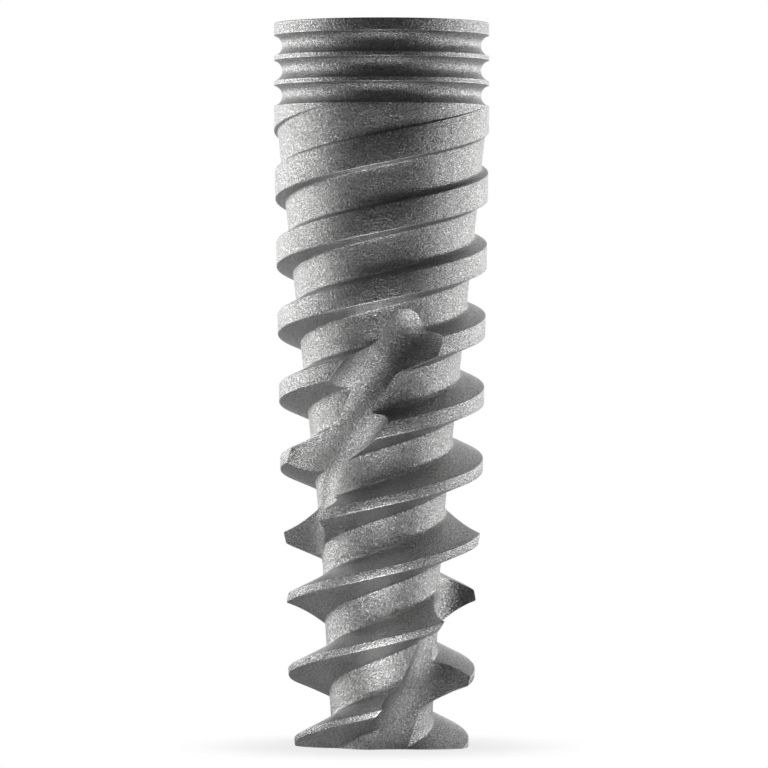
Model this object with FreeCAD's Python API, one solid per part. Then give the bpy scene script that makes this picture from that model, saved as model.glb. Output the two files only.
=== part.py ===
import FreeCAD, Part
import math
import os

# One-piece bone-level dental implant, turned, thread-milled and fluted from one titanium bar.
# Axis on Z, apex face on z = 0, platform on top. Lengths in millimetres, angles in degrees.
# The front, as seen in the picture, is the -Y side. Angles are counted from +X towards +Y.

# Overall sizes
HEIGHT = 12.60
COLLAR_RADIUS = 1.875
BAND_LENGTH = 0.435
TAPER_KNEE_SHARE = 0.3135
TAPER_KNEE_RADIUS = 1.748
APEX_RADIUS = 1.508

# Round micro-grooves of the collar
TOP_RING_HEIGHT = 0.215
MICRO_COUNT = 3
MICRO_WIDTH = 0.36
MICRO_LAND = 0.075
MICRO_ARC_RADIUS = 0.185

# Bone thread, two starts; drops are measured down from the platform
STARTS = 2
LEAD = 2.421
CREST_DATUM_DROP = 4.043
CREST_WIDTH_TOP = 0.525
CREST_TOP_DROP = 0.27
CREST_WIDTH_KNEE = 0.178
CREST_KNEE_SHARE = 0.3333
CREST_WIDTH_APEX = 0.105
UPPER_FLANK_ANGLE = 23.0
LOWER_FLANK_ANGLE = 18.5
FADE_BELOW_GROOVES = 0.03
CORE_SHOULDER_DROP = 0.575
CORE_SHOULDER_RADIUS = 1.793
CORE_KNEE_SHARE = 0.3389
CORE_KNEE_RADIUS = 1.115
CORE_APEX_RADIUS = 0.852

# Two spiral flutes that make the thread self-tapping
FLUTES = 2
FLUTE_LEAD = 13.94
FLUTE_TOOL_RADIUS = 0.66
FLUTE_DATUM_DROP = 5.883
FLUTE_DATUM_ANGLE = -85.8
FLUTE_DATUM_RADIUS = 1.958
FLUTE_TAPER = 0.0833
FLUTE_TOP_RISE = 0.453
FLUTE_STEPS = 38
BALL_STEPS = 5
BALL_STEP_ANGLE = 16.0

# Connection for abutment and screw
HEX_ACROSS_FLATS = 2.42
HEX_DEPTH = 1.50
BEVEL_RADIUS = 1.50
BEVEL_ANGLE = 45.0
RELIEF_RADIUS = 0.96
RELIEF_LENGTH = 0.30
SCREW_BORE_RADIUS = 0.775
SCREW_BORE_LENGTH = 3.50
DRILL_POINT_ANGLE = 118.0

# Cutters reach this far past the metal they cut
CLEAR = 0.10
OVERRUN = 0.80

# Spacing of the sections that a helical cutter passes through, and how many make one face
SECTION_STEP = 12.0
FACE_STATIONS = 12

PITCH = LEAD / STARTS
MICRO_PITCH = MICRO_WIDTH + MICRO_LAND
BAND_TOP_HEIGHT = HEIGHT - TOP_RING_HEIGHT - MICRO_COUNT * MICRO_PITCH + MICRO_LAND
BAND_FOOT_HEIGHT = BAND_TOP_HEIGHT - BAND_LENGTH
TAPER_KNEE_HEIGHT = HEIGHT * TAPER_KNEE_SHARE
CREST_DATUM_HEIGHT = HEIGHT - CREST_DATUM_DROP
CREST_TOP_HEIGHT = BAND_FOOT_HEIGHT - CREST_TOP_DROP
CREST_KNEE_HEIGHT = HEIGHT * CREST_KNEE_SHARE
CORE_FADE_HEIGHT = BAND_TOP_HEIGHT - FADE_BELOW_GROOVES
CORE_SHOULDER_HEIGHT = CORE_FADE_HEIGHT - CORE_SHOULDER_DROP
CORE_KNEE_HEIGHT = HEIGHT * CORE_KNEE_SHARE
FLUTE_DATUM_HEIGHT = HEIGHT - FLUTE_DATUM_DROP
FLUTE_TOP_HEIGHT = FLUTE_DATUM_HEIGHT + FLUTE_TOP_RISE
HEX_FLOOR = HEIGHT - HEX_DEPTH
SCREW_BORE_TOP = HEX_FLOOR - RELIEF_LENGTH
SCREW_BORE_FLOOR = SCREW_BORE_TOP - SCREW_BORE_LENGTH


def blend(value, low, high, at_low, at_high):
    """Linear change between two stations, held at the far values outside them."""
    share = min(max((value - low) / (high - low), 0.0), 1.0)
    return at_low + (at_high - at_low) * share


def core_radius(z):
    """Core of the thread: slim cone from the apex, main cone, and the run-out under the collar."""
    if z > CORE_SHOULDER_HEIGHT:
        slope = (COLLAR_RADIUS - CORE_SHOULDER_RADIUS) / (CORE_FADE_HEIGHT - CORE_SHOULDER_HEIGHT)
        return CORE_SHOULDER_RADIUS + slope * (z - CORE_SHOULDER_HEIGHT)
    if z > CORE_KNEE_HEIGHT:
        return blend(
            z, CORE_KNEE_HEIGHT, CORE_SHOULDER_HEIGHT, CORE_KNEE_RADIUS, CORE_SHOULDER_RADIUS)
    slope = (CORE_KNEE_RADIUS - CORE_APEX_RADIUS) / CORE_KNEE_HEIGHT
    return CORE_KNEE_RADIUS + slope * (z - CORE_KNEE_HEIGHT)


def crest_width(z):
    """Axial width of the crest: wide under the collar, narrow at the apex."""
    if z > CREST_KNEE_HEIGHT:
        return blend(z, CREST_KNEE_HEIGHT, CREST_TOP_HEIGHT, CREST_WIDTH_KNEE, CREST_WIDTH_TOP)
    return blend(z, 0.0, CREST_KNEE_HEIGHT, CREST_WIDTH_APEX, CREST_WIDTH_KNEE)


def envelope_radius(z):
    """Radius over the crests, straight to the knee and then an even curve to the apex."""
    if z > TAPER_KNEE_HEIGHT:
        return blend(z, TAPER_KNEE_HEIGHT, BAND_FOOT_HEIGHT, TAPER_KNEE_RADIUS, COLLAR_RADIUS)
    slope = (COLLAR_RADIUS - TAPER_KNEE_RADIUS) / (BAND_FOOT_HEIGHT - TAPER_KNEE_HEIGHT)
    drop = TAPER_KNEE_HEIGHT - z
    bend = (TAPER_KNEE_RADIUS - APEX_RADIUS - slope * TAPER_KNEE_HEIGHT) / TAPER_KNEE_HEIGHT ** 2
    return TAPER_KNEE_RADIUS - slope * drop - bend * drop ** 2


def point(radius, z, angle=0.0):
    """Point at a radius, height and angle in degrees."""
    turn = math.radians(angle)
    return FreeCAD.Vector(radius * math.cos(turn), radius * math.sin(turn), z)


def turned(edges):
    """Solid of revolution about Z from a closed chain of edges in the XZ plane."""
    return Part.Face(Part.Wire(edges)).revolve(point(0, 0), FreeCAD.Vector(0, 0, 1), 360)


def make_blank():
    """The turned bar: apex face, tapered envelope, collar band, micro-grooves and platform."""
    edges = [Part.makeLine(point(0, 0), point(envelope_radius(0.0), 0))]
    middle = point(envelope_radius(TAPER_KNEE_HEIGHT / 2), TAPER_KNEE_HEIGHT / 2)
    knee = point(TAPER_KNEE_RADIUS, TAPER_KNEE_HEIGHT)
    edges.append(Part.Arc(point(envelope_radius(0.0), 0), middle, knee).toShape())
    corner = point(COLLAR_RADIUS, BAND_FOOT_HEIGHT)
    edges.append(Part.makeLine(knee, corner))
    sink = MICRO_ARC_RADIUS - math.sqrt(MICRO_ARC_RADIUS ** 2 - (MICRO_WIDTH / 2) ** 2)
    for number in reversed(range(MICRO_COUNT)):
        upper = HEIGHT - TOP_RING_HEIGHT - number * MICRO_PITCH
        lower = point(COLLAR_RADIUS, upper - MICRO_WIDTH)
        edges.append(Part.makeLine(corner, lower))
        bottom = point(COLLAR_RADIUS - sink, upper - MICRO_WIDTH / 2)
        corner = point(COLLAR_RADIUS, upper)
        edges.append(Part.Arc(lower, bottom, corner).toShape())
    rim = point(COLLAR_RADIUS, HEIGHT)
    edges.append(Part.makeLine(corner, rim))
    edges.append(Part.makeLine(rim, point(0, HEIGHT)))
    edges.append(Part.makeLine(point(0, HEIGHT), point(0, 0)))
    return turned(edges)


def rail(points):
    """Cubic spline through evenly numbered stations; every rail shares the same knots."""
    curve = Part.BSplineCurve()
    curve.interpolate(Points=points, Parameters=[float(i) for i in range(len(points))])
    return curve


def strip(rails, weight):
    """Surface across two rails, or an exact arc across three when the middle one is weighted."""
    poles = [list(row) for row in zip(*[curve.getPoles() for curve in rails])]
    first = rails[0]
    across = len(rails) - 1
    row = [1.0] * len(rails)
    if across == 2:
        row[1] = weight
    surface = Part.BSplineSurface()
    surface.buildFromPolesMultsKnots(
        poles, first.getMultiplicities(), [across + 1, across + 1], first.getKnots(), [0.0, 1.0],
        False, False, first.Degree, across, [row] * len(poles))
    return surface


def skin(stations, weights):
    """Closed solid through stations, each a ring of points; weights names the arc middles."""
    rails = [rail(list(points)) for points in zip(*stations)]
    last = len(stations) - 1
    marks = list(range(0, last - FACE_STATIONS // 2, FACE_STATIONS)) + [last]
    faces = []
    ends = ([], [])
    for near, far in zip(marks[:-1], marks[1:]):
        pieces = []
        for curve in rails:
            piece = curve.copy()
            piece.segment(float(near), float(far))
            pieces.append(piece)
        index = 0
        while index < len(pieces):
            reach = 2 if index + 1 in weights else 1
            members = [pieces[(index + step) % len(pieces)] for step in range(reach + 1)]
            surface = strip(members, weights.get(index + 1, 1.0))
            faces.append(surface.toShape())
            if near == 0:
                ends[0].append(surface.uIso(float(near)).toShape())
            if far == last:
                ends[1].append(surface.uIso(float(far)).toShape())
            index += reach
    for end in ends:
        faces.append(Part.Face(Part.Wire(Part.sortEdges(end)[0])))
    shell = Part.makeShell(faces)
    shell.sewShape()
    solid = Part.Solid(shell)
    if solid.Volume < 0:
        solid.reverse()
    return solid


def groove_station(angle, start):
    """Section of one thread groove in the axial plane at this angle."""
    centre = CREST_DATUM_HEIGHT + PITCH / 2 + start * PITCH + LEAD * angle / 360
    top = centre + PITCH / 2 - crest_width(centre + PITCH / 2) / 2
    foot = centre - PITCH / 2 + crest_width(centre - PITCH / 2) / 2
    steep = math.tan(math.radians(LOWER_FLANK_ANGLE))
    soft = math.tan(math.radians(UPPER_FLANK_ANGLE))
    rim_top = envelope_radius(top)
    rim_foot = envelope_radius(foot)
    root_top = top - steep * (rim_top - core_radius(centre))
    root_foot = foot + soft * (rim_foot - core_radius(centre))
    outer = max(rim_top, core_radius(top)) + CLEAR
    return [
        point(outer, top + steep * (outer - rim_top), angle),
        point(core_radius(root_top), root_top, angle),
        point(core_radius(root_foot), root_foot, angle),
        point(outer, foot - soft * (outer - rim_foot), angle),
    ]


def groove_turn(height, start):
    """Angle at which a groove's middle passes this height."""
    return (height - CREST_DATUM_HEIGHT - PITCH / 2 - start * PITCH) * 360 / LEAD


def make_groove(start):
    """Cutter for one of the thread grooves, from under the collar to past the apex."""
    top_turn = groove_turn(CORE_FADE_HEIGHT + PITCH, start)
    foot_turn = groove_turn(-OVERRUN, start)
    steps = int((top_turn - foot_turn) / SECTION_STEP)
    stations = []
    for step in range(steps + 1):
        angle = top_turn - (top_turn - foot_turn) * step / steps
        stations.append(groove_station(angle, start))
    return skin(stations, {})


def flute_path(z):
    """Where the tool centre is at this height: on a cone up to the datum, level above it."""
    radius = FLUTE_DATUM_RADIUS + FLUTE_TAPER * min(z - FLUTE_DATUM_HEIGHT, 0.0)
    return point(radius, z, FLUTE_DATUM_ANGLE + 360 * (z - FLUTE_DATUM_HEIGHT) / FLUTE_LEAD)


def tool_ring(z, ahead, radius):
    """Eight corner points of the tool's section at this height, moved ahead along the path."""
    here = flute_path(z)
    nudge = 0.001
    along = (flute_path(z + nudge) - flute_path(z - nudge)).normalize()
    side = along.cross(FreeCAD.Vector(here.x, here.y, 0)).normalize()
    across = side.cross(along)
    ring = []
    for corner in range(8):
        turn = math.radians(45 * corner)
        reach = radius / math.cos(math.radians(45)) if corner % 2 else radius
        spoke = across * (reach * math.cos(turn)) + side * (reach * math.sin(turn))
        ring.append(here + along * ahead + spoke)
    return ring


def make_flute():
    """Cutter for one flute: a ball-nosed tool swept along its path."""
    stations = []
    for step in range(BALL_STEPS, 0, -1):
        turn = math.radians(BALL_STEP_ANGLE * step)
        ahead = FLUTE_TOOL_RADIUS * math.sin(turn)
        stations.append(tool_ring(FLUTE_TOP_HEIGHT, ahead, FLUTE_TOOL_RADIUS * math.cos(turn)))
    for step in range(FLUTE_STEPS + 1):
        z = FLUTE_TOP_HEIGHT - (FLUTE_TOP_HEIGHT + OVERRUN) * step / FLUTE_STEPS
        stations.append(tool_ring(z, 0.0, FLUTE_TOOL_RADIUS))
    weight = math.cos(math.radians(45))
    return skin(stations, {1: weight, 3: weight, 5: weight, 7: weight})


def make_connection():
    """Everything cut from the platform: bevel, hexagon, relief, screw bore and drill point."""
    hexagon = []
    for corner in range(6):
        hexagon.append(point(HEX_ACROSS_FLATS / 2 / math.cos(math.radians(30)), HEX_FLOOR, 60 * corner))
    hexagon.append(hexagon[0])
    socket = Part.Face(Part.makePolygon(hexagon)).extrude(FreeCAD.Vector(0, 0, HEX_DEPTH + CLEAR))
    slope = math.tan(math.radians(BEVEL_ANGLE))
    tip = SCREW_BORE_RADIUS / math.tan(math.radians(DRILL_POINT_ANGLE / 2))
    corners = [
        point(0, HEIGHT + CLEAR),
        point(BEVEL_RADIUS + CLEAR / slope, HEIGHT + CLEAR),
        point(RELIEF_RADIUS, HEIGHT - (BEVEL_RADIUS - RELIEF_RADIUS) * slope),
        point(RELIEF_RADIUS, SCREW_BORE_TOP),
        point(SCREW_BORE_RADIUS, SCREW_BORE_TOP),
        point(SCREW_BORE_RADIUS, SCREW_BORE_FLOOR),
        point(0, SCREW_BORE_FLOOR - tip),
    ]
    corners.append(corners[0])
    bore = turned(Part.makePolygon(corners).Edges)
    return socket.fuse(bore)


def make_implant():
    """The blank with its grooves, flutes and connection cut away."""
    body = make_blank()
    for start in range(STARTS):
        body = body.cut(make_groove(start))
    flute = make_flute()
    for number in range(FLUTES):
        turned_flute = flute.copy()
        turned_flute.rotate(point(0, 0), FreeCAD.Vector(0, 0, 1), 360 * number / FLUTES)
        body = body.cut(turned_flute)
    body = body.cut(make_connection())
    return body.removeSplitter()


os.makedirs("parts", exist_ok=True)
implant = make_implant()
implant.exportStep("parts/implant_body.step")
print("solids", len(implant.Solids), "valid", implant.isValid(), "faces", len(implant.Faces))
print("volume mm3", round(implant.Volume, 3), "box", implant.BoundBox)
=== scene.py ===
import logging
import math
from dataclasses import dataclass, field
from enum import Enum

import bpy
import numpy as np
from mathutils import Matrix, Vector


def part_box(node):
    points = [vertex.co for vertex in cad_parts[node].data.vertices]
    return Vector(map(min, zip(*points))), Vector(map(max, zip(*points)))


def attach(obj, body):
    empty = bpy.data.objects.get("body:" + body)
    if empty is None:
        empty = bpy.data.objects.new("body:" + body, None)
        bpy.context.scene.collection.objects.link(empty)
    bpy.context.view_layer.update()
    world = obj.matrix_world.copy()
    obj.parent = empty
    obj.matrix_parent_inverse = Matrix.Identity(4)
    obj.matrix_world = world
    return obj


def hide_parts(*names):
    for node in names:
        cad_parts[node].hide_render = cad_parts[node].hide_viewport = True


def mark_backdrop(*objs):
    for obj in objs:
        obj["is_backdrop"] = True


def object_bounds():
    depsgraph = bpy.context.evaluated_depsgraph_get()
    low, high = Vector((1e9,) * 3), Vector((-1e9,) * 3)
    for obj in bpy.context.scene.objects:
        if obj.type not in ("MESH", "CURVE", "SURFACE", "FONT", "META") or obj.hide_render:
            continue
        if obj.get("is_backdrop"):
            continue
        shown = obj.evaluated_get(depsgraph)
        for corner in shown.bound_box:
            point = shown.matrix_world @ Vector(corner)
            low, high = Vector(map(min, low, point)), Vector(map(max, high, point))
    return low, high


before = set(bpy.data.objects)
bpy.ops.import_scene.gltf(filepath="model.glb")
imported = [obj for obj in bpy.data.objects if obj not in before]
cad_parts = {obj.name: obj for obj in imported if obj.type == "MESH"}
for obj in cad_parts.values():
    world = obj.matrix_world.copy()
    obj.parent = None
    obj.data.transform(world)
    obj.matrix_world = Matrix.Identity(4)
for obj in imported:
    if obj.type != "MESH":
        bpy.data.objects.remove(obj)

# Sizes are in millimetres, as on the drawing; meshes are written in metres.
MM = 0.001
NODE = "implant_body"
SLOT = "blasted_titanium"
CAD_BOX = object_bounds()
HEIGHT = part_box(NODE)[1][2] / MM
COLLAR_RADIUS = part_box(NODE)[1][0] / MM

# Limits that keep a fillet sound: shortest side, narrowest half angle in radians, share of a side.
SHORTEST_SIDE = 1e-9
NARROWEST_HALF = 0.05
SIDE_SHARE = 0.48

Place = tuple[float, float, float]
Colour = tuple[float, float, float, float]

log = logging.getLogger("implant")


class Face(Enum):
    """Which way a flat cap of a skin looks."""

    UP = 1
    DOWN = -1


def blend(value: np.ndarray, low: float, high: float, at_low: float, at_high: float) -> np.ndarray:
    """Linear change between two stations, held outside them.

    Args:
        value: Where to read the change.
        low: Lower station.
        high: Upper station.
        at_low: Value at the lower station and below.
        at_high: Value at the upper station and above.

    Returns:
        The value at each place.
    """
    share = np.clip((value - low) / (high - low), 0.0, 1.0)
    return at_low + (at_high - at_low) * share


def fillet(
    before: np.ndarray, corner: np.ndarray, after: np.ndarray, radius: float, count: int
) -> np.ndarray:
    """Round a corner of many sections at once with true arcs.

    Args:
        before: Points ahead of the corners, last axis (radius, height).
        corner: The corners.
        after: Points behind the corners.
        radius: Radius of the arc; it shrinks where the sides are too short.
        count: Points along each arc.

    Returns:
        The arcs, with the points along the axis before the last.
    """
    into, out = before - corner, after - corner
    reach_in = np.maximum(np.linalg.norm(into, axis=-1, keepdims=True), SHORTEST_SIDE)
    reach_out = np.maximum(np.linalg.norm(out, axis=-1, keepdims=True), SHORTEST_SIDE)
    into, out = into / reach_in, out / reach_out
    cosine = np.clip(np.sum(into * out, axis=-1, keepdims=True), -1.0, 1.0)
    half = np.maximum(np.arccos(cosine) / 2, NARROWEST_HALF)
    reach = np.minimum(radius / np.tan(half), SIDE_SHARE * np.minimum(reach_in, reach_out))
    start, end = corner + into * reach, corner + out * reach
    along = np.linspace(0.0, 1.0, count)[:, None]
    side, middle, far = (1 - along) ** 2, 2 * along * (1 - along), along**2
    # With this weight at the corner, a curve of second degree is a true arc.
    pull = middle * np.sin(half)[..., None, :]
    points = side * start[..., None, :] + pull * corner[..., None, :] + far * end[..., None, :]
    return points / (side + pull + far)


@dataclass
class Skin:
    """A closed mesh around Z, grown from the top down out of rings and helical bands."""

    columns: int
    points: list[np.ndarray] = field(default_factory=list)
    quads: list[np.ndarray] = field(default_factory=list)
    odd: list[tuple[int, ...]] = field(default_factory=list)
    count: int = 0

    def turns(self) -> np.ndarray:
        """Angle of every column in radians."""
        return np.arange(self.columns) * 2 * math.pi / self.columns

    def ring(self, radius: float | np.ndarray, z: float | np.ndarray) -> np.ndarray:
        """Add one ring of points.

        Args:
            radius: Radius, the same all round or one per column.
            z: Height, likewise.

        Returns:
            The numbers of the new points.
        """
        turns = self.turns()
        radius = np.broadcast_to(radius, turns.shape)
        z = np.broadcast_to(z, turns.shape)
        self.points.append(np.stack([radius * np.cos(turns), radius * np.sin(turns), z], axis=-1))
        self.count += self.columns
        return np.arange(self.count - self.columns, self.count)

    def bridge(self, upper: np.ndarray, lower: np.ndarray) -> None:
        """Join two rings with faces that look outwards.

        Args:
            upper: Point numbers of the upper ring.
            lower: Point numbers of the lower ring.
        """
        self.quads.append(np.stack([lower, np.roll(lower, -1), np.roll(upper, -1), upper], axis=-1))

    def stack(self, upper: np.ndarray, profile: list[tuple[float, float]]) -> np.ndarray:
        """Grow rings downwards along a profile.

        Args:
            upper: Point numbers of the ring to start from.
            profile: Radius and height of each new ring.

        Returns:
            The point numbers of the last ring.
        """
        for radius, z in profile:
            lower = self.ring(radius, z)
            self.bridge(upper, lower)
            upper = lower
        return upper

    def cap(self, ring: np.ndarray, face: Face) -> None:
        """Close a ring with a fan from its middle.

        Args:
            ring: Point numbers of the ring.
            face: Which way the cap looks.
        """
        height = float(np.concatenate(self.points)[ring, 2].mean())
        self.points.append(np.array([[0.0, 0.0, height]]))
        middle = self.count
        self.count += 1
        following = np.roll(ring, -1)
        for here, there in zip(ring.tolist(), following.tolist()):
            self.odd.append((middle, here, there) if face is Face.UP else (middle, there, here))

    def level_ring(self, radius: np.ndarray, z: np.ndarray, height: float) -> np.ndarray:
        """Add the ring in which a band is cut level.

        Args:
            radius: Radius for every column and row of the band, rows running downwards.
            z: Height for every column and row.
            height: Height of the cut.

        Returns:
            The numbers of the new points.
        """
        columns = zip(z[:, ::-1], radius[:, ::-1])
        return self.ring(np.array([np.interp(height, *column) for column in columns]), height)

    def helix(
        self, radius: np.ndarray, z: np.ndarray, shift: int, top: float, foot: float
    ) -> tuple[np.ndarray, np.ndarray]:
        """Add a band whose rows climb as they go round, cut level at its top and foot.

        Args:
            radius: Radius for every column and row, rows running downwards.
            z: Height for every column and row.
            shift: Rows by which the band moves down against itself in one turn.
            top: Height of the level top edge.
            foot: Height of the level lower edge.

        Returns:
            The point numbers of the top ring and of the foot ring.
        """
        top_ring = self.level_ring(radius, z, top)
        foot_ring = self.level_ring(radius, z, foot)
        numbers = np.where(z >= top, top_ring[:, None], foot_ring[:, None])
        inside = (z < top) & (z > foot)
        amount = int(inside.sum())
        numbers[inside] = self.count + np.arange(amount)
        turn = np.broadcast_to(self.turns()[:, None], z.shape)[inside]
        kept = radius[inside]
        self.points.append(np.stack([kept * np.cos(turn), kept * np.sin(turn), z[inside]], axis=-1))
        self.count += amount
        # A row that has climbed for a whole turn meets the row that starts that much higher.
        seam = np.full(z.shape[1], top_ring[0])
        seam[shift:] = numbers[0, :-shift]
        ahead = np.vstack([numbers[1:], seam[None, :]])
        corners = [numbers[:, 1:], ahead[:, 1:], ahead[:, :-1], numbers[:, :-1]]
        quads = np.stack(corners, axis=-1).reshape(-1, 4)
        distinct = np.array([len(set(quad)) for quad in quads.tolist()])
        self.quads.append(quads[distinct == 4])
        for quad in quads[distinct == 3].tolist():
            self.odd.append(tuple(dict.fromkeys(quad)))
        return top_ring, foot_ring

    def build(self, name: str) -> bpy.types.Object:
        """Turn the skin into a mesh object in metres.

        Args:
            name: Name of the object.

        Returns:
            The object, linked to the scene.
        """
        faces = [tuple(quad) for quad in np.concatenate(self.quads).tolist()] + self.odd
        mesh = bpy.data.meshes.new(name)
        mesh.from_pydata((np.concatenate(self.points) * MM).tolist(), [], faces)
        mesh.validate()
        piece = bpy.data.objects.new(name, mesh)
        bpy.context.scene.collection.objects.link(piece)
        return piece


@dataclass
class Collar:
    """The upper end: platform ring, round micro-grooves and the plain band below them."""

    ring_height: float = 0.215
    groove_count: int = 3
    groove_width: float = 0.36
    land: float = 0.075
    arc_radius: float = 0.185
    arc_points: int = 11
    rim_round: float = 0.012
    band_length: float = 0.435

    def band_top(self) -> float:
        """Height of the lower edge of the last micro-groove."""
        pitch = self.groove_width + self.land
        return HEIGHT - self.ring_height - self.groove_count * pitch + self.land

    def profile(self) -> list[tuple[float, float]]:
        """Radius and height of every ring from under the platform down to the plain band.

        Returns:
            The profile, ending at the top edge of the band.
        """
        line = [(COLLAR_RADIUS, HEIGHT - self.rim_round)]
        half = self.groove_width / 2
        centre = COLLAR_RADIUS + math.sqrt(self.arc_radius**2 - half**2)
        opening = math.asin(half / self.arc_radius)
        for number in range(self.groove_count):
            middle = HEIGHT - self.ring_height - half - number * (self.groove_width + self.land)
            for step in range(self.arc_points):
                turn = opening * (1 - 2 * step / (self.arc_points - 1))
                radius = centre - self.arc_radius * math.cos(turn)
                line.append((radius, middle + self.arc_radius * math.sin(turn)))
        return line


@dataclass
class BoneThread:
    """The two-start bone thread under its collar: sections, taper and fade."""

    collar: Collar = field(default_factory=Collar)
    starts: int = 2
    lead: float = 2.421
    datum_drop: float = 4.043
    taper_knee_share: float = 0.3135
    taper_knee_radius: float = 1.748
    apex_radius: float = 1.508
    crest_top: float = 0.525
    crest_top_drop: float = 0.27
    crest_knee: float = 0.178
    crest_knee_share: float = 0.3333
    crest_apex: float = 0.105
    upper_flank: float = 23.0
    lower_flank: float = 18.5
    fade_drop: float = 0.03
    shoulder_drop: float = 0.575
    shoulder_radius: float = 1.793
    core_knee_share: float = 0.3389
    core_knee_radius: float = 1.115
    core_apex_radius: float = 0.852
    crest_round: float = 0.022
    lower_root: float = 0.045
    upper_root: float = 0.10
    crest_points: int = 5
    lower_points: int = 4
    upper_points: int = 6
    root_parts: int = 4
    columns: int = 240

    def core(self, z: np.ndarray) -> np.ndarray:
        """Radius of the core, which widens near the collar so that the thread fades out there.

        Args:
            z: Heights.

        Returns:
            The core's radius at each height.
        """
        fade = self.collar.band_top() - self.fade_drop
        shoulder = fade - self.shoulder_drop
        knee = HEIGHT * self.core_knee_share
        run_out = (COLLAR_RADIUS - self.shoulder_radius) / self.shoulder_drop
        slim = (self.core_knee_radius - self.core_apex_radius) / knee
        main = blend(z, knee, shoulder, self.core_knee_radius, self.shoulder_radius)
        return main + run_out * np.maximum(z - shoulder, 0.0) - slim * np.maximum(knee - z, 0.0)

    def crest(self, z: np.ndarray) -> np.ndarray:
        """Axial width of the crest, largest under the collar's band.

        Args:
            z: Heights.

        Returns:
            The crest's width at each height.
        """
        knee = HEIGHT * self.crest_knee_share
        top = self.collar.band_top() - self.collar.band_length - self.crest_top_drop
        upper = blend(z, knee, top, self.crest_knee, self.crest_top)
        return np.where(z > knee, upper, blend(z, 0.0, knee, self.crest_apex, self.crest_knee))

    def envelope(self, z: np.ndarray) -> np.ndarray:
        """Radius over the crests: the collar's band, a straight taper, then a curved one.

        Args:
            z: Heights.

        Returns:
            The envelope's radius at each height.
        """
        knee = HEIGHT * self.taper_knee_share
        foot = self.collar.band_top() - self.collar.band_length
        slope = (COLLAR_RADIUS - self.taper_knee_radius) / (foot - knee)
        bend = (self.taper_knee_radius - self.apex_radius - slope * knee) / knee**2
        drop = np.maximum(knee - z, 0.0)
        straight = blend(z, knee, foot, self.taper_knee_radius, COLLAR_RADIUS)
        return straight - slope * drop - bend * drop**2

    def within(self, radius: np.ndarray, z: np.ndarray) -> np.ndarray:
        """Pairs of radius and height, never outside the envelope."""
        return np.stack([np.minimum(radius, self.envelope(z)), z], axis=-1)

    def sections(self, turns: np.ndarray) -> tuple[np.ndarray, np.ndarray, int]:
        """Every section of the thread, from crest to crest downwards, for every column.

        Args:
            turns: Angle of each column in radians.

        Returns:
            Radius and height by column and row, and the rows in one pitch.
        """
        pitch = self.lead / self.starts
        datum = HEIGHT - self.datum_drop
        highest = math.ceil((HEIGHT - datum) / pitch)
        lowest = math.floor(-(datum + self.lead) / pitch)
        cells = np.arange(highest, lowest, -1)
        crest = datum + pitch * cells[None, :] + self.lead * turns[:, None] / (2 * math.pi)
        top = crest - self.crest(crest) / 2
        foot = crest - pitch + self.crest(crest - pitch) / 2
        rim_top, rim_foot = self.envelope(top), self.envelope(foot)
        core = self.core(crest - pitch / 2)
        steep = math.tan(math.radians(self.lower_flank))
        soft = math.tan(math.radians(self.upper_flank))
        root_top = top - steep * np.maximum(rim_top - core, 0.0)
        root_foot = foot + soft * np.maximum(rim_foot - core, 0.0)
        above = self.within(self.envelope(crest), crest)
        edge_top, edge_foot = self.within(rim_top, top), self.within(rim_foot, foot)
        bend_top = self.within(self.core(root_top), root_top)
        bend_foot = self.within(self.core(root_foot), root_foot)
        below = self.within(self.envelope(crest - pitch), crest - pitch)
        rows = [
            above[..., None, :],
            fillet(above, edge_top, bend_top, self.crest_round, self.crest_points),
            ((edge_top + bend_top) / 2)[..., None, :],
            fillet(edge_top, bend_top, bend_foot, self.lower_root, self.lower_points),
        ]
        for part in range(1, self.root_parts):
            z = root_top + (root_foot - root_top) * part / self.root_parts
            rows.append(self.within(self.core(z), z)[..., None, :])
        rows += [
            fillet(bend_top, bend_foot, edge_foot, self.upper_root, self.upper_points),
            ((bend_foot + edge_foot) / 2)[..., None, :],
            fillet(bend_foot, edge_foot, below, self.crest_round, self.crest_points),
        ]
        line = np.concatenate(rows, axis=-2)
        # No point may lie above the one before it.
        line[..., 1] = -np.maximum.accumulate(-line[..., 1], axis=-1)
        flat = line.reshape(len(turns), -1, 2)
        return flat[..., 0], flat[..., 1], line.shape[-2]

    def build(self) -> bpy.types.Object:
        """The whole outside as one closed solid, before flutes and connection.

        Returns:
            The mesh object.
        """
        skin = Skin(self.columns)
        radius, z, rows = self.sections(skin.turns())
        band_top, foot_ring = skin.helix(radius, z, rows * self.starts, self.collar.band_top(), 0.0)
        rim = skin.ring(COLLAR_RADIUS - self.collar.rim_round, HEIGHT)
        skin.cap(rim, Face.UP)
        last = skin.stack(rim, self.collar.profile()[:-1])
        skin.bridge(last, band_top)
        skin.cap(foot_ring, Face.DOWN)
        return skin.build("implant")


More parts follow.
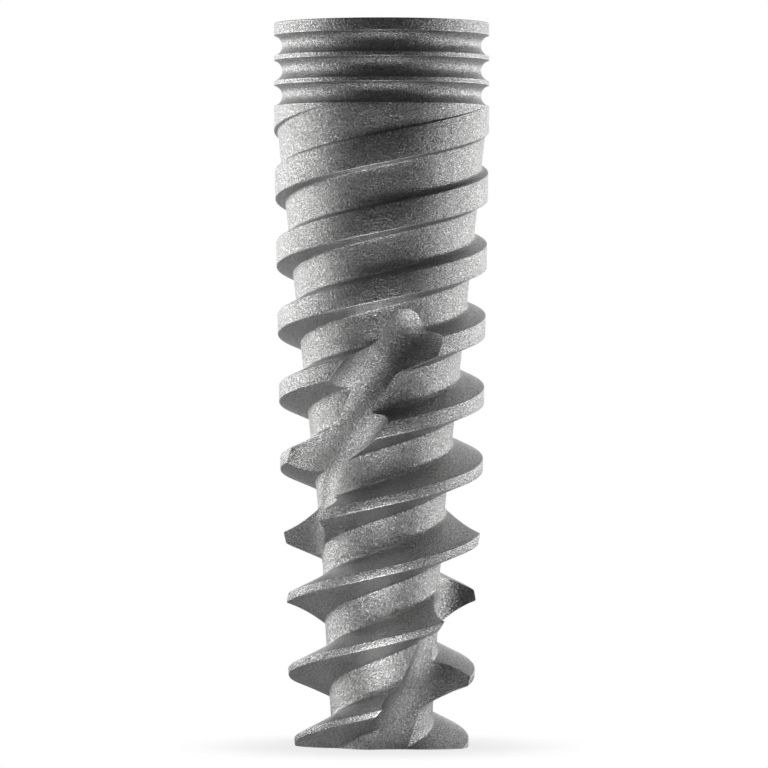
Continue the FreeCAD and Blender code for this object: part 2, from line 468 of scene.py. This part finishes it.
@dataclass
class Flute:
    """A spiral flute: a ball-nosed tool on a helical path that runs out at the apex."""

    count: int = 2
    lead: float = 13.94
    tool_radius: float = 0.66
    datum_drop: float = 5.883
    datum_angle: float = -85.8
    datum_radius: float = 1.958
    taper: float = 0.0833
    top_rise: float = 0.453
    overrun: float = 0.80
    stations: int = 120
    sides: int = 48
    ball_steps: int = 11
    ball_reach: float = 86.0
    nudge: float = 0.001

    def path(self, z: float) -> Vector:
        """Centre of the tool at a height.

        Args:
            z: The height.

        Returns:
            The point on the tool's path.
        """
        datum = HEIGHT - self.datum_drop
        radius = self.datum_radius + self.taper * min(z - datum, 0.0)
        turn = math.radians(self.datum_angle) + 2 * math.pi * (z - datum) / self.lead
        return Vector((radius * math.cos(turn), radius * math.sin(turn), z))

    def ring(self, z: float, ahead: float, radius: float) -> list[Vector]:
        """One section of the tool.

        Args:
            z: Height of the tool's centre.
            ahead: How far the section lies ahead of it along the path.
            radius: Radius of the section.

        Returns:
            The points of the section.
        """
        here = self.path(z)
        along = (self.path(z + self.nudge) - self.path(z - self.nudge)).normalized()
        side = along.cross(Vector((here.x, here.y, 0.0))).normalized()
        across = side.cross(along)
        centre = here + along * ahead
        turns = [2 * math.pi * step / self.sides for step in range(self.sides)]
        return [centre + (across * math.cos(turn) + side * math.sin(turn)) * radius for turn in turns]

    def build(self, number: int) -> bpy.types.Object:
        """The tool's swept form for one flute.

        Args:
            number: Which flute, counted from the one at the front.

        Returns:
            The mesh object, used as a cutter.
        """
        top = HEIGHT - self.datum_drop + self.top_rise
        rings = []
        for step in range(self.ball_steps, 0, -1):
            turn = math.radians(self.ball_reach * step / self.ball_steps)
            ahead, radius = self.tool_radius * math.sin(turn), self.tool_radius * math.cos(turn)
            rings.append(self.ring(top, ahead, radius))
        for step in range(self.stations + 1):
            z = top - (top + self.overrun) * step / self.stations
            rings.append(self.ring(z, 0.0, self.tool_radius))
        spin = Matrix.Rotation(2 * math.pi * number / self.count, 3, "Z")
        points = [spin @ point * MM for ring in rings for point in ring]
        faces = []
        for start in range(0, len(points) - self.sides, self.sides):
            for step in range(self.sides):
                here, there = start + step, start + (step + 1) % self.sides
                faces.append((here + self.sides, there + self.sides, there, here))
        faces.append(tuple(range(self.sides)))
        faces.append(tuple(range(len(points) - 1, len(points) - self.sides - 1, -1)))
        mesh = bpy.data.meshes.new("flute")
        mesh.from_pydata(points, [], faces)
        piece = bpy.data.objects.new("flute", mesh)
        bpy.context.scene.collection.objects.link(piece)
        return piece


@dataclass
class Connection:
    """What is cut into the platform: hexagon, lead-in bevel, relief and threaded screw bore."""

    hex_sides: int = 6
    across_flats: float = 2.42
    hex_depth: float = 1.50
    bevel_radius: float = 1.50
    relief_radius: float = 0.96
    relief_length: float = 0.30
    bore_radius: float = 0.775
    bore_length: float = 3.50
    thread_pitch: float = 0.353
    thread_radius: float = 0.927
    thread_run_out: float = 0.40
    drill_angle: float = 118.0
    tip_share: float = 0.02
    clear: float = 0.10
    columns: int = 64
    pitch_rows: int = 4
    deep_rows: tuple[int, ...] = (1, 2)
    spare_pitches: int = 3

    def hexagon(self) -> bpy.types.Object:
        """The six-sided socket.

        Returns:
            The mesh object, used as a cutter.
        """
        skin = Skin(self.hex_sides)
        corner = self.across_flats / 2 / math.cos(math.pi / self.hex_sides)
        top = skin.ring(corner, HEIGHT + self.clear)
        foot = skin.stack(top, [(corner, HEIGHT - self.hex_depth)])
        skin.cap(top, Face.UP)
        skin.cap(foot, Face.DOWN)
        return skin.build("hexagon")

    def bore(self) -> bpy.types.Object:
        """Bevel, relief, screw thread and drill point as one round cutter.

        Returns:
            The mesh object, used as a cutter.
        """
        skin = Skin(self.columns)
        thread_top = HEIGHT - self.hex_depth - self.relief_length
        thread_foot = thread_top - self.bore_length
        radius, z = self.screw_sections(skin.turns(), thread_top, thread_foot)
        upper, lower = skin.helix(radius, z, self.pitch_rows, thread_top, thread_foot)
        top = skin.ring(self.bevel_radius + self.clear, HEIGHT + self.clear)
        skin.cap(top, Face.UP)
        bevel_foot = HEIGHT - self.bevel_radius + self.relief_radius
        relief = skin.stack(top, [(self.relief_radius, bevel_foot), (self.relief_radius, thread_top)])
        skin.bridge(relief, upper)
        tip = self.bore_radius / math.tan(math.radians(self.drill_angle / 2))
        blunt = (self.bore_radius * self.tip_share, thread_foot - tip * (1 - self.tip_share))
        point = skin.stack(lower, [blunt])
        skin.cap(point, Face.DOWN)
        return skin.build("bore")

    def screw_sections(
        self, turns: np.ndarray, top: float, foot: float
    ) -> tuple[np.ndarray, np.ndarray]:
        """Sections of the screw thread, with the same rows of every pitch cut deep.

        Args:
            turns: Angle of each column in radians.
            top: Upper end of the thread.
            foot: Lower end of the bore's wall.

        Returns:
            Radius and height by column and row.
        """
        cells = math.ceil((top - foot) / self.thread_pitch) + self.spare_pitches
        rows = np.arange(self.pitch_rows * cells)
        climb = self.thread_pitch * turns[:, None] / (2 * math.pi)
        z = top + self.thread_pitch * (1 - rows[None, :] / self.pitch_rows) + climb
        run_out = blend(z, foot, foot + self.thread_run_out, 0.0, 1.0)
        depth = (self.thread_radius - self.bore_radius) * run_out
        cut = np.isin(rows % self.pitch_rows, self.deep_rows)
        return self.bore_radius + depth * cut[None, :], z


class Socket:
    """A node's output that can be used in ordinary arithmetic."""

    def __init__(self, graph: "Graph", source: bpy.types.Node, out: int | str) -> None:
        """Keep the graph, the node and which of its outputs is meant.

        Args:
            graph: Graph that new nodes are added to.
            source: The node.
            out: Name or number of the output.
        """
        self.graph = graph
        self.source = source
        self.out = out

    def link(self) -> bpy.types.NodeSocket:
        """The output itself, to link from."""
        return self.source.outputs[self.out]

    def maths(self, operation: str, *values: "Socket | float") -> "Socket":
        """Add a Math node.

        Args:
            operation: Name of the node's operation.
            *values: Its inputs in order.

        Returns:
            The node's result.
        """
        return self.graph.node("ShaderNodeMath", {"operation": operation}, dict(enumerate(values)))

    def __add__(self, other: "Socket | float") -> "Socket":
        """Sum."""
        return self.maths("ADD", self, other)

    __radd__ = __add__

    def __mul__(self, other: "Socket | float") -> "Socket":
        """Product."""
        return self.maths("MULTIPLY", self, other)

    __rmul__ = __mul__

    def __sub__(self, other: "Socket | float") -> "Socket":
        """Difference."""
        return self.maths("SUBTRACT", self, other)

    def __rsub__(self, other: float) -> "Socket":
        """Difference with the number first."""
        return self.maths("SUBTRACT", other, self)

    def __neg__(self) -> "Socket":
        """The opposite."""
        return 0 - self

    def __truediv__(self, other: "Socket | float") -> "Socket":
        """Quotient."""
        return self.maths("DIVIDE", self, other)

    def sibling(self, name: str) -> "Socket":
        """Another output of the same node."""
        return Socket(self.graph, self.source, name)

    def capped(self, other: "Socket | float") -> "Socket":
        """The smaller of two values."""
        return self.maths("MINIMUM", self, other)

    def step(self, low: float, high: float) -> "Socket":
        """Smooth change from 0 at low to 1 at high.

        Args:
            low: Value below which the result is 0.
            high: Value above which the result is 1.

        Returns:
            The result.
        """
        settings = {"interpolation_type": "SMOOTHSTEP"}
        values = {"Value": self, "From Min": low, "From Max": high, "To Min": 0.0, "To Max": 1.0}
        return self.graph.node("ShaderNodeMapRange", settings, values)


class Graph:
    """Nodes of one material or world."""

    # Numbers of a Mix node's colour sockets, because its other sockets have the same names.
    MIX_FACTOR = 0
    MIX_FIRST = 6
    MIX_SECOND = 7
    MIX_RESULT = 2

    def __init__(self, tree: bpy.types.NodeTree) -> None:
        """Start from an empty tree.

        Args:
            tree: The node tree, which is cleared.
        """
        self.tree = tree
        tree.nodes.clear()

    def node(
        self,
        kind: str,
        settings: dict[str, object] | None = None,
        values: dict[int | str, object] | None = None,
        out: int | str = 0,
    ) -> Socket:
        """Add any node.

        Args:
            kind: The node's type.
            settings: Properties, set before the inputs.
            values: Inputs by name or number, as numbers or sockets.
            out: Which output to give back.

        Returns:
            The chosen output, which is left unused where the node has none.
        """
        node = self.tree.nodes.new(kind)
        for name, value in (settings or {}).items():
            setattr(node, name, value)
        for key, value in (values or {}).items():
            if isinstance(value, Socket):
                self.tree.links.new(value.link(), node.inputs[key])
            else:
                node.inputs[key].default_value = value
        return Socket(self, node, out)

    def place(self) -> Socket:
        """Object coordinates in millimetres."""
        metres = self.node("ShaderNodeTexCoord", out="Object")
        return self.node("ShaderNodeVectorMath", {"operation": "SCALE"}, {0: metres, "Scale": 1 / MM})

    def noise(self, vector: Socket, scale: float, detail: float, roughness: float = 0.5) -> Socket:
        """Noise from 0 to 1.

        Args:
            vector: Where to read it.
            scale: Grains per unit.
            detail: Octaves.
            roughness: Strength of the finer octaves.

        Returns:
            The noise value.
        """
        values = {"Vector": vector, "Scale": scale, "Detail": detail, "Roughness": roughness}
        return self.node("ShaderNodeTexNoise", None, values, "Fac")

    def mix(self, factor: Socket | float, first: Colour, second: Colour) -> Socket:
        """Colour between two colours.

        Args:
            factor: 0 for the first, 1 for the second.
            first: First colour.
            second: Second colour.

        Returns:
            The mixed colour.
        """
        values = {self.MIX_FACTOR: factor, self.MIX_FIRST: first, self.MIX_SECOND: second}
        return self.node("ShaderNodeMix", {"data_type": "RGBA"}, values, self.MIX_RESULT)


def grey(value: float, warmth: float = 0.0) -> Colour:
    """A grey with a little warmth, as a colour with alpha."""
    return (value * (1 + warmth), value, value * (1 - warmth), 1.0)


@dataclass(frozen=True)
class Grain:
    """One size of grain: a noise, and how it turns into light and dark spots."""

    per_mm: float
    detail: float
    roughness: float
    dark_up_to: float
    pale_from: float
    share: float

    def noise(self, graph: Graph, place: Socket) -> Socket:
        """The grain's noise, which also gives its relief."""
        return graph.noise(place, self.per_mm, self.detail, self.roughness)

    def spots(self, noise: Socket) -> Socket:
        """The grain's share of the pale spots."""
        return noise.step(self.dark_up_to, self.pale_from) * self.share


@dataclass(frozen=True)
class BlastedTitanium:
    """Grit-blasted and acid-etched titanium: matt grey metal with a fine salt-and-pepper grain."""

    pale: float = 0.78
    dark: float = 0.27
    warmth: float = 0.004
    fine: Grain = Grain(48.0, detail=1.0, roughness=0.60, dark_up_to=0.40, pale_from=0.60, share=0.68)
    pits: Grain = Grain(24.0, detail=3.0, roughness=0.65, dark_up_to=0.35, pale_from=0.65, share=0.32)
    cloud_per_mm: float = 1.2
    cloud_detail: float = 2.0
    cloud_share: float = 0.1
    roughness: float = 0.22
    roughness_swing: float = 0.10
    fine_relief: float = 0.6
    relief_height: float = 0.0120
    edge_radius: float = 0.014
    edge_samples: int = 4
    # Painted highlight along edges: radius of the rounding that finds them, where it starts and is full,
    # and how far it pales the colour.
    highlight_radius: float = 0.035
    highlight_start: float = 0.02
    highlight_full: float = 0.10
    highlight_strength: float = 0.75

    def rounded(self, graph: Graph, radius: float) -> Socket:
        """Direction of the surface with its edges rounded by a radius in millimetres."""
        return graph.node("ShaderNodeBevel", {"samples": self.edge_samples}, {"Radius": radius * MM})

    def painted_edge_highlight(self, graph: Graph) -> Socket:
        """Painted highlight along the edges: how much paler, and smoother in relief, the metal is drawn
        there.

        Args:
            graph: Graph that the nodes are added to.

        Returns:
            The amount, which grows with how far rounding an edge turns the surface.
        """
        flat = graph.node("ShaderNodeNewGeometry", out="Normal")
        both = {0: self.rounded(graph, self.highlight_radius), 1: flat}
        alike = graph.node("ShaderNodeVectorMath", {"operation": "DOT_PRODUCT"}, both, "Value")
        return (1 - alike).step(self.highlight_start, self.highlight_full) * self.highlight_strength

    def build(self) -> bpy.types.Material:
        """Make the material.

        Returns:
            The material.
        """
        material = bpy.data.materials.new(SLOT)
        material.use_nodes = True
        graph = Graph(material.node_tree)
        place = graph.place()
        fine, pits = self.fine.noise(graph, place), self.pits.noise(graph, place)
        cloud = graph.noise(place, self.cloud_per_mm, self.cloud_detail)
        speckle = self.fine.spots(fine) + self.pits.spots(pits)
        # Painted highlight along the edges, which also smooths the relief there.
        painted_edge_highlight = self.painted_edge_highlight(graph)
        shade = speckle * (1 - self.cloud_share) + cloud * self.cloud_share
        # Painted highlight: the colour is made paler along the edges.
        shade = shade + painted_edge_highlight * (1 - shade)
        bump = {
            "Strength": 1.0,
            "Distance": self.relief_height * MM,
            "Height": (fine * self.fine_relief + pits) * (1 - painted_edge_highlight),
            "Normal": self.rounded(graph, self.edge_radius),
        }
        metal = {
            "Base Color": graph.mix(shade, grey(self.dark, self.warmth), grey(self.pale, self.warmth)),
            "Metallic": 1.0,
            "Roughness": self.roughness + (1 - speckle) * self.roughness_swing,
            "Normal": graph.node("ShaderNodeBump", None, bump),
        }
        surface = graph.node("ShaderNodeBsdfPrincipled", None, metal)
        graph.node("ShaderNodeOutputMaterial", None, {"Surface": surface})
        return material


@dataclass
class Implant:
    """The finished piece: outside, flutes and connection in one mesh."""

    thread: BoneThread = field(default_factory=BoneThread)
    flute: Flute = field(default_factory=Flute)
    connection: Connection = field(default_factory=Connection)
    finish: BlastedTitanium = field(default_factory=BlastedTitanium)
    crease: float = 28.0

    def build(self) -> bpy.types.Object:
        """Cut the outside with flutes and connection, shade it and give it its finish.

        Returns:
            The finished mesh object.
        """
        piece = self.thread.build()
        for number in range(self.flute.count):
            self.cut(piece, self.flute.build(number))
        self.cut(piece, self.connection.hexagon())
        self.cut(piece, self.connection.bore())
        self.shade(piece)
        piece.data.materials.clear()
        piece.data.materials.append(self.finish.build())
        return piece

    def cut(self, piece: bpy.types.Object, cutter: bpy.types.Object) -> None:
        """Subtract a cutter and remove it.

        Args:
            piece: The piece to cut.
            cutter: The tool's form.
        """
        modifier = piece.modifiers.new("cut", "BOOLEAN")
        modifier.operation = "DIFFERENCE"
        modifier.solver = "MANIFOLD"
        modifier.object = cutter
        graph = bpy.context.evaluated_depsgraph_get()
        mesh = bpy.data.meshes.new_from_object(piece.evaluated_get(graph))
        piece.modifiers.clear()
        piece.data = mesh
        bpy.data.objects.remove(cutter)
        log.info("cut: %d faces", len(mesh.polygons))

    def shade(self, piece: bpy.types.Object) -> None:
        """Smooth shading with sharp creases where two faces meet at a steep angle.

        Args:
            piece: The piece to shade.
        """
        piece.data.polygons.foreach_set("use_smooth", [True] * len(piece.data.polygons))
        piece.data.set_sharp_from_angle(angle=math.radians(self.crease))


@dataclass(frozen=True)
class SoftLight:
    """A soft rectangular light that is not seen itself; its level is 1 for a white face."""

    name: str
    place: Place
    target: Place
    width: float
    height: float
    level: float

    def build(self) -> None:
        """Add the light."""
        data = bpy.data.lights.new(self.name, "AREA")
        data.shape = "RECTANGLE"
        data.size = self.width * MM
        data.size_y = self.height * MM
        data.energy = self.level * math.pi * self.width * self.height * MM**2
        lamp = bpy.data.objects.new(self.name, data)
        lamp.location = Vector(self.place) * MM
        way = (Vector(self.target) - Vector(self.place)).normalized()
        lamp.rotation_euler = way.to_track_quat("-Z", "Y").to_euler()
        lamp.visible_camera = False
        bpy.context.scene.collection.objects.link(lamp)


@dataclass(frozen=True)
class Studio:
    """Round white room, unlit on the camera's side, with a dim world and soft lights."""

    floor_size: float = 900.0
    wall_radius: float = 260.0
    wall_height: float = 300.0
    wall_steps: int = 72
    floor_colour: float = 0.86
    # Where one brightness passes into the next: distances, heights and, as shares, directions.
    near: float = 5.0
    far: float = 24.0
    ahead_start: float = 1.0
    ahead_full: float = 4.0
    contact_start: float = 1.0
    contact_end: float = 4.0
    high_start: float = 25.0
    high_full: float = 90.0
    upright_full: float = 1.0
    front_start: float = 0.05
    front_full: float = 0.50
    rear_start: float = 0.30
    rear_full: float = 0.70
    left_full: float = 0.2
    # Brightness of each part in what the metal mirrors, the shadow that is seen, and the world.
    ahead_floor: float = 0.68
    behind_floor: float = 0.16
    side_floor: float = 0.42
    high_rear: float = 0.60
    high_left: float = 0.50
    seen_shadow: float = 0.20
    world: float = 0.025
    lights: tuple[SoftLight, ...] = (
        SoftLight("left_soft", (-98.0, 18.0, 8.0), (0.0, 0.0, 7.0), width=80.0, height=26.0, level=3.5),
        SoftLight("right_soft", (98.0, 18.0, 8.0), (0.0, 0.0, 7.0), width=80.0, height=26.0, level=2.7),
        SoftLight("left_back", (-64.0, 88.0, 8.0), (0.0, 0.0, 7.0), width=50.0, height=26.0, level=1.4),
        SoftLight("right_back", (64.0, 88.0, 8.0), (0.0, 0.0, 7.0), width=50.0, height=26.0, level=1.2),
        SoftLight("front_floor", (0.1, -7.0, 0.05), (0.1, -7.0, 10.0), width=2.4, height=9.0, level=3.6),
    )

    def build(self) -> None:
        """Add the floor, the wall, the world and the lights."""
        half = self.floor_size / 2
        corners = [(-half, -half, 0.0), (half, -half, 0.0), (half, half, 0.0), (-half, half, 0.0)]
        floor = self.surface("floor", corners, [(0, 1, 2, 3)])
        wall = self.wall()
        paper = self.paper()
        for piece in (floor, wall):
            piece.data.materials.append(paper)
        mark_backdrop(floor, wall)
        self.dress_world()
        for light in self.lights:
            light.build()

    def surface(
        self, name: str, points: list[Place], faces: list[tuple[int, ...]]
    ) -> bpy.types.Object:
        """A mesh object from points in millimetres.

        Args:
            name: Name of the object.
            points: Its corners.
            faces: Its faces.

        Returns:
            The mesh object.
        """
        mesh = bpy.data.meshes.new(name)
        mesh.from_pydata([Vector(point) * MM for point in points], [], faces)
        piece = bpy.data.objects.new(name, mesh)
        bpy.context.scene.collection.objects.link(piece)
        return piece

    def wall(self) -> bpy.types.Object:
        """The upright wall all round the object.

        Returns:
            The mesh object.
        """
        points, faces = [], []
        for step in range(self.wall_steps):
            turn = 2 * math.pi * step / self.wall_steps
            x, y = self.wall_radius * math.cos(turn), self.wall_radius * math.sin(turn)
            points += [(x, y, 0.0), (x, y, self.wall_height)]
            here, there = 2 * step, 2 * ((step + 1) % self.wall_steps)
            faces.append((there, here, here + 1, there + 1))
        return self.surface("wall", points, faces)

    def reflected(self, side: Socket, depth: Socket, level: Socket, reach: Socket) -> Socket:
        """How bright a place in the studio is when the metal mirrors it.

        Args:
            side: How far the place is to the right of the object.
            depth: How far it is behind the object.
            level: Its height.
            reach: Its distance from the object's foot.

        Returns:
            The brightness, which is 1 low on the walls and 0 on the camera's side.
        """
        near = 1 - reach.step(self.near, self.far)
        ahead = (-depth).step(self.ahead_start, self.ahead_full)
        floor = near * (ahead * self.ahead_floor + (1 - ahead) * self.behind_floor)
        floor = floor + (1 - near) * self.side_floor
        rear = (depth / reach).step(self.rear_start, self.rear_full)
        left = (-(side / reach)).step(0.0, self.left_full)
        high = level.step(self.high_start, self.high_full)
        wall = 1 - high * (1 - rear * self.high_rear - (1 - rear) * left * self.high_left)
        upright = level.step(0.0, self.upright_full)
        front = (-(depth / reach)).step(self.front_start, self.front_full) * (1 - near)
        return (1 - front) * (floor + upright * (wall - floor))

    def paper(self) -> bpy.types.Material:
        """White paper: plain white where it is seen, with a faint shadow round the object's foot.

        Only what the metal mirrors has a brightness that changes from place to place.

        Returns:
            The material.
        """
        material = bpy.data.materials.new("white_paper")
        material.use_nodes = True
        graph = Graph(material.node_tree)
        place = graph.place()
        reach = graph.node("ShaderNodeVectorMath", {"operation": "LENGTH"}, {0: place}, "Value")
        side = graph.node("ShaderNodeSeparateXYZ", None, {0: place}, "X")
        contact = 1 - reach.step(self.contact_start, self.contact_end)
        camera = graph.node("ShaderNodeLightPath", out="Is Camera Ray")
        mirrored = camera.sibling("Is Glossy Ray") + camera.sibling("Is Transmission Ray")
        shown = mirrored * self.reflected(side, side.sibling("Y"), side.sibling("Z"), reach)
        share = camera * (1 - contact * self.seen_shadow) + shown
        white = graph.node("ShaderNodeEmission", None, {"Color": grey(1.0), "Strength": 1.0})
        dull = graph.node("ShaderNodeBsdfDiffuse", None, {"Color": grey(self.floor_colour)})
        both = graph.node("ShaderNodeMixShader", None, {0: share.capped(1.0), 1: dull, 2: white})
        graph.node("ShaderNodeOutputMaterial", None, {"Surface": both})
        return material

    def dress_world(self) -> None:
        """Dim, even light from all round."""
        world = bpy.data.worlds.new("studio")
        world.use_nodes = True
        bpy.context.scene.world = world
        graph = Graph(world.node_tree)
        light = graph.node("ShaderNodeBackground", None, {"Color": grey(1.0), "Strength": self.world})
        graph.node("ShaderNodeOutputWorld", None, {"Surface": light})


@dataclass(frozen=True)
class PhotoCamera:
    """Level camera in front of the part, framed as the photograph is."""

    frame_px: float = 768.0
    distance: float = 100.0
    px_per_mm: float = 57.39
    axis_px: float = 381.6
    foot_px: float = 746.5
    horizon_px: float = 345.0
    sensor: float = 36.0
    clip_start: float = 2.0
    clip_end: float = 10000.0

    def build(self) -> None:
        """Add the camera and make it the scene's camera."""
        data = bpy.data.cameras.new("photo_camera")
        data.sensor_fit = "HORIZONTAL"
        data.sensor_width = self.sensor
        data.lens = self.sensor * self.px_per_mm * self.distance / self.frame_px
        data.shift_x = (self.frame_px / 2 - self.axis_px) / self.frame_px
        data.shift_y = (self.horizon_px - self.frame_px / 2) / self.frame_px
        data.clip_start = self.clip_start * MM
        data.clip_end = self.clip_end * MM
        camera = bpy.data.objects.new("photo_camera", data)
        level = (self.foot_px - self.horizon_px) / self.px_per_mm
        camera.location = (0.0, -self.distance * MM, level * MM)
        camera.rotation_euler = (math.pi / 2, 0.0, 0.0)
        bpy.context.scene.collection.objects.link(camera)
        bpy.context.scene.camera = camera


def main() -> None:
    """Build the implant, the studio and the camera."""
    logging.basicConfig(level=logging.INFO, format="%(name)s: %(message)s")
    piece = Implant().build()
    log.info("implant: %d faces", len(piece.data.polygons))
    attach(piece, "root")
    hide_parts(NODE)
    Studio().build()
    log.info("studio built")
    PhotoCamera().build()
    bpy.context.scene.view_settings.view_transform = "Standard"
    boxes = {"cad": CAD_BOX, "visual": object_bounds()}
    {name: [list(corner) for corner in box] for name, box in boxes.items()}


if __name__ == "__main__":
    main()
